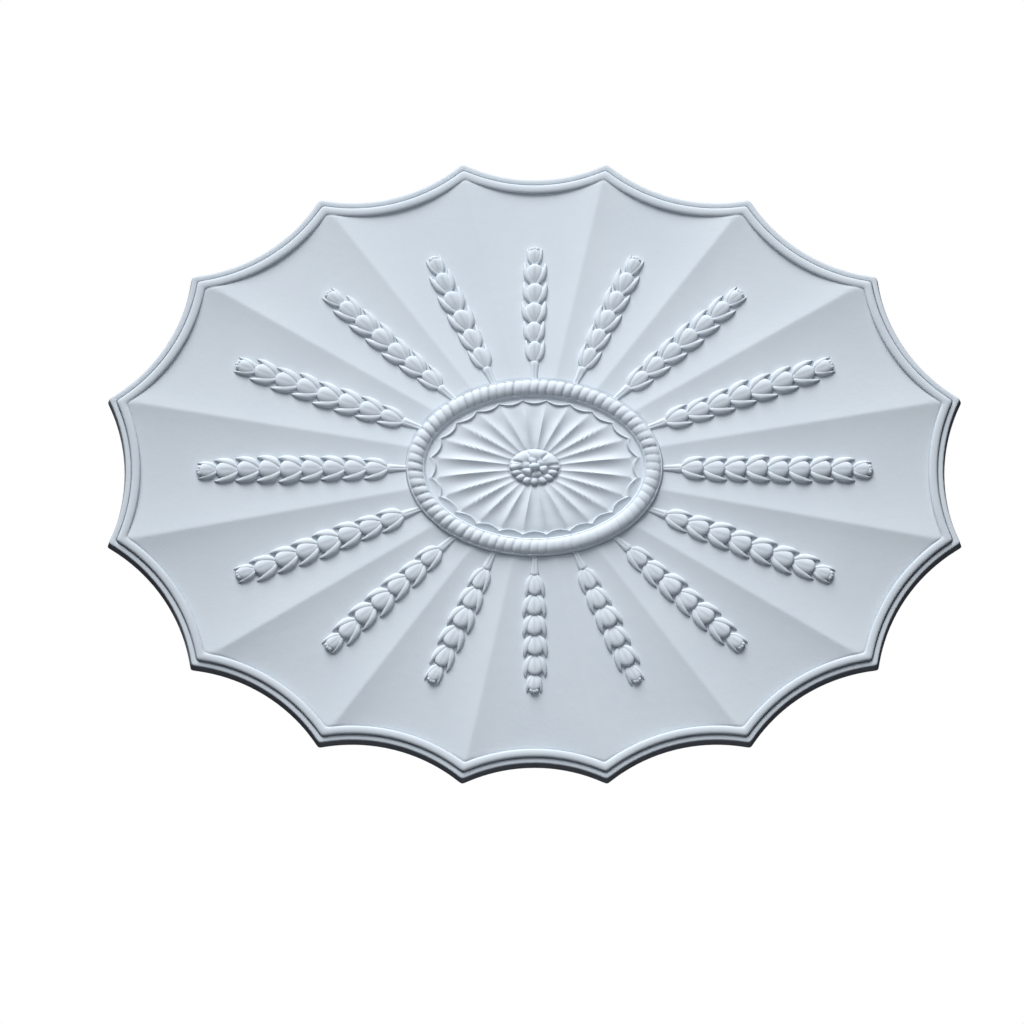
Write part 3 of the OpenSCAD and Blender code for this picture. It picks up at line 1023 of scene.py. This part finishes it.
@dataclass(frozen=True)
class PlasterFinish:
    """Matt, dry cast plaster, cool off-white, with faint mottling and grain, and painted shade in
    its hollows and on its wall.
    """

    light: tuple[float, float, float] = (0.70, 0.765, 0.825)
    deep: tuple[float, float, float] = (0.62, 0.69, 0.76)
    # Colour of the painted shade in hollows and on the wall.
    painted_shade: tuple[float, float, float] = (0.23, 0.26, 0.31)
    roughness: float = 0.86
    mottle_scale: float = 9.0
    lump_scale: float = 75.0
    grain_scale: float = 420.0
    noise_middle: tuple[float, float] = (0.3, 0.7)
    mottle_range: tuple[float, float] = (0.3, 0.7)
    shade_breakup: tuple[float, float] = (0.55, 0.85)
    roughness_spread: float = 0.06
    sheen: float = 0.3
    lump_strength: float = 0.16
    lump_depth: float = 0.0012
    grain_strength: float = 0.22
    grain_depth: float = 0.0004

    def material(self) -> bpy.types.Material:
        """Make the plaster material.

        Returns:
            The new material.
        """
        mat = bpy.data.materials.new("cast_plaster")
        mat.use_nodes = True
        tree = mat.node_tree
        nodes, links = tree.nodes, tree.links
        shader = nodes["Principled BSDF"]
        place = nodes.new("ShaderNodeTexCoord")

        def noise(scale: float, detail: float) -> bpy.types.Node:
            """A noise over the whole object.

            Args:
                scale: How fine it is.
                detail: How many finer layers it has.

            Returns:
                The noise node.
            """
            made = nodes.new("ShaderNodeTexNoise")
            made.inputs["Scale"].default_value = scale
            made.inputs["Detail"].default_value = detail
            links.new(place.outputs["Object"], made.inputs["Vector"])
            return made

        def spread(source: bpy.types.Node, low: float, high: float) -> bpy.types.Node:
            """Spread a noise's middle values between two levels.

            Args:
                source: The noise node.
                low: Level of its low values.
                high: Level of its high values.

            Returns:
                The node that gives the level.
            """
            made = nodes.new("ShaderNodeMapRange")
            made.inputs["From Min"].default_value = self.noise_middle[0]
            made.inputs["From Max"].default_value = self.noise_middle[1]
            made.inputs["To Min"].default_value = low
            made.inputs["To Max"].default_value = high
            links.new(source.outputs["Fac"], made.inputs["Value"])
            return made

        def mix(a: tuple | bpy.types.NodeSocket, b: tuple) -> bpy.types.Node:
            """A colour mix of a colour or link with a second colour.

            Args:
                a: The first colour, or the socket that gives it.
                b: The second colour.

            Returns:
                The mix node.
            """
            made = nodes.new("ShaderNodeMix")
            made.data_type = "RGBA"
            if isinstance(a, tuple):
                made.inputs[6].default_value = (*a, 1.0)
            else:
                links.new(a, made.inputs[6])
            made.inputs[7].default_value = (*b, 1.0)
            return made

        mottle = noise(self.mottle_scale, 4.0)
        lumps = noise(self.lump_scale, 3.0)
        grain = noise(self.grain_scale, 2.0)
        base = mix(self.light, self.deep)
        links.new(spread(mottle, *self.mottle_range).outputs["Result"], base.inputs[0])
        # Painted shade: the shade colour is mixed in as far as the point attribute asks, broken up
        # by the lumps noise.
        shade_amount = nodes.new("ShaderNodeAttribute")
        shade_amount.attribute_name = "painted_shade"
        broken = nodes.new("ShaderNodeMath")
        broken.operation = "MULTIPLY"
        links.new(shade_amount.outputs["Fac"], broken.inputs[0])
        links.new(spread(lumps, *self.shade_breakup).outputs["Result"], broken.inputs[1])
        shaded_colour = mix(base.outputs[2], self.painted_shade)
        links.new(broken.outputs[0], shaded_colour.inputs[0])
        links.new(shaded_colour.outputs[2], shader.inputs["Base Color"])
        low, high = self.roughness - self.roughness_spread, self.roughness + self.roughness_spread
        rough = spread(grain, low, high)
        links.new(rough.outputs["Result"], shader.inputs["Roughness"])
        shader.inputs["Specular IOR Level"].default_value = self.sheen
        soft = nodes.new("ShaderNodeBump")
        soft.inputs["Strength"].default_value = self.lump_strength
        soft.inputs["Distance"].default_value = self.lump_depth
        links.new(lumps.outputs["Fac"], soft.inputs["Height"])
        fine = nodes.new("ShaderNodeBump")
        fine.inputs["Strength"].default_value = self.grain_strength
        fine.inputs["Distance"].default_value = self.grain_depth
        links.new(grain.outputs["Fac"], fine.inputs["Height"])
        links.new(soft.outputs["Normal"], fine.inputs["Normal"])
        links.new(fine.outputs["Normal"], shader.inputs["Normal"])
        return mat


@dataclass(frozen=True)
class FloorFinish:
    """Plain white studio floor, which glows evenly and so takes no shadow."""

    colour: tuple[float, float, float] = (0.0, 0.0, 0.0)
    glow: float = 1.0

    def material(self) -> bpy.types.Material:
        """Make the floor material.

        Returns:
            The new material.
        """
        mat = bpy.data.materials.new("studio_floor")
        mat.use_nodes = True
        shader = mat.node_tree.nodes["Principled BSDF"]
        shader.inputs["Base Color"].default_value = (*self.colour, 1.0)
        shader.inputs["Roughness"].default_value = 1.0
        shader.inputs["Specular IOR Level"].default_value = 0.0
        shader.inputs["Emission Color"].default_value = (1.0, 1.0, 1.0, 1.0)
        shader.inputs["Emission Strength"].default_value = self.glow
        return mat


@dataclass
class Casting:
    """The whole rose, from the rim in to the rosette."""

    length: float
    width: float
    top: float
    finish: PlasterFinish = field(default_factory=PlasterFinish)
    ring_half_length: float = 170.0
    ring_half_width: float = 118.0
    rosette_half_length: float = 36.0
    rosette_half_width: float = 27.0
    bay_top: float = 42.0
    ring_clear: float = 4.5
    rim_clear: float = 8.0
    rosette_clear: float = 1.5

    def build(self) -> list[bpy.types.Object]:
        """Build and dress the casting's pieces.

        Returns:
            The ground of the casting and its husks.
        """
        outline = Outline(self.length, self.width)
        bays = BayField(outline, top=self.bay_top)
        ring_curve = OvalCurve(self.ring_half_length, self.ring_half_width)
        rim = Rim(outline, bays)
        ring = BeadRing(bays, ring_curve)
        round_rosette = OvalCurve(
            self.rosette_half_length + self.rosette_clear,
            self.rosette_half_width + self.rosette_clear,
        )
        skin = Skin()
        base_count = rim.add_to(skin)
        rim_foot = rim.bead_middle + rim.bead_half
        bays.add_to(
            skin, ring_curve, ring.band_half + self.ring_clear, rim_foot + self.rim_clear
        )
        ring.add_to(skin)
        Medallion(ring_curve, round_rosette).add_to(skin)
        rosette = Rosette(self.rosette_half_length, self.rosette_half_width, top=self.top)
        rosette.add_to(skin)
        ground = skin.piece("rose_casting", base_count, outline)
        husks = HuskDrop(bays, ring_curve, ring.band_half).build()
        material = self.finish.material()
        pieces = [ground, husks]
        for piece in pieces:
            piece.data.materials.append(material)
            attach(piece, BODY)
            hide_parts(NODE)
            LOG.info("%s: %d faces", piece.name, len(piece.data.polygons))
        return pieces


@dataclass
class Studio:
    """Floor, lights and camera."""

    floor_size: float = 80.0
    floor_drop: float = 0.0006
    sun_strength: float = 4.3
    sun_height: float = 27.0
    sun_left: float = 12.0
    sun_softness: float = 42.0
    strip_size: tuple[float, float] = (0.3, 1.6)
    strip_height: float = 0.9
    strip_power: float = 2.8
    strip_colour: tuple[float, float, float] = (0.93, 0.96, 1.0)
    sky: tuple[float, float, float] = (0.05, 0.05, 0.055)
    camera_height: float = 74.6
    camera_distance: float = 60.0
    view_width: float = 1.461
    clip_end: float = 200.0
    aim_left: float = 0.0321
    aim_down: float = 0.0532

    def floor(self) -> None:
        """Lay the floor, which sends no light to the rose."""
        half = self.floor_size / 2
        mesh = bpy.data.meshes.new("floor")
        corners = [(-half, -half), (half, -half), (half, half), (-half, half)]
        mesh.from_pydata([(x, y, -self.floor_drop) for x, y in corners], [], [(0, 1, 2, 3)])
        mesh.materials.append(FloorFinish().material())
        floor = bpy.data.objects.new("floor", mesh)
        bpy.context.scene.collection.objects.link(floor)
        floor.visible_diffuse = False
        floor.visible_glossy = False

    def light(self) -> None:
        """Hang a soft light above and a little to the left, and a strip lamp over the middle."""
        lamp = bpy.data.lights.new("key", "SUN")
        lamp.energy = self.sun_strength
        lamp.angle = math.radians(self.sun_softness)
        key = bpy.data.objects.new("key", lamp)
        up, left = math.radians(self.sun_height), math.radians(self.sun_left)
        toward = Vector(
            (-math.sin(left) * math.cos(up), math.cos(left) * math.cos(up), math.sin(up))
        )
        key.rotation_euler = toward.to_track_quat("Z", "Y").to_euler()
        bpy.context.scene.collection.objects.link(key)
        strip = bpy.data.lights.new("strip", "AREA")
        strip.shape = "RECTANGLE"
        strip.size, strip.size_y = self.strip_size
        strip.energy = self.strip_power
        strip.color = self.strip_colour
        fill = bpy.data.objects.new("strip", strip)
        fill.location = (0.0, 0.0, self.strip_height)
        bpy.context.scene.collection.objects.link(fill)
        world = bpy.data.worlds.new("studio")
        world.use_nodes = True
        world.node_tree.nodes["Background"].inputs["Color"].default_value = (*self.sky, 1.0)
        bpy.context.scene.world = world

    def camera(self) -> None:
        """Stand the camera over the lower edge with a long lens."""
        data = bpy.data.cameras.new("camera")
        data.lens = data.sensor_width * self.camera_distance / self.view_width
        data.clip_end = self.clip_end
        camera = bpy.data.objects.new("camera", data)
        tilt = math.radians(self.camera_height)
        back = Vector((0.0, -math.cos(tilt), math.sin(tilt)))
        up = Vector((0.0, math.sin(tilt), math.cos(tilt)))
        aim = Vector((-self.aim_left, 0.0, 0.0)) - up * self.aim_down
        camera.location = aim + back * self.camera_distance
        camera.rotation_euler = back.to_track_quat("Z", "Y").to_euler()
        bpy.context.scene.collection.objects.link(camera)
        bpy.context.scene.camera = camera

    def build(self) -> None:
        """Set up the studio."""
        bpy.context.scene.view_settings.view_transform = "Standard"
        self.floor()
        self.light()
        self.camera()


def main() -> None:
    """Build the rose and the studio round it."""
    logging.basicConfig(level=logging.INFO, format="%(name)s: %(message)s")
    low, high = CAD_BOX
    size = (high - low) / MM
    Casting(length=size.x, width=size.y, top=high.z / MM).build()
    Studio().build()


if __name__ == "__main__":
    main()
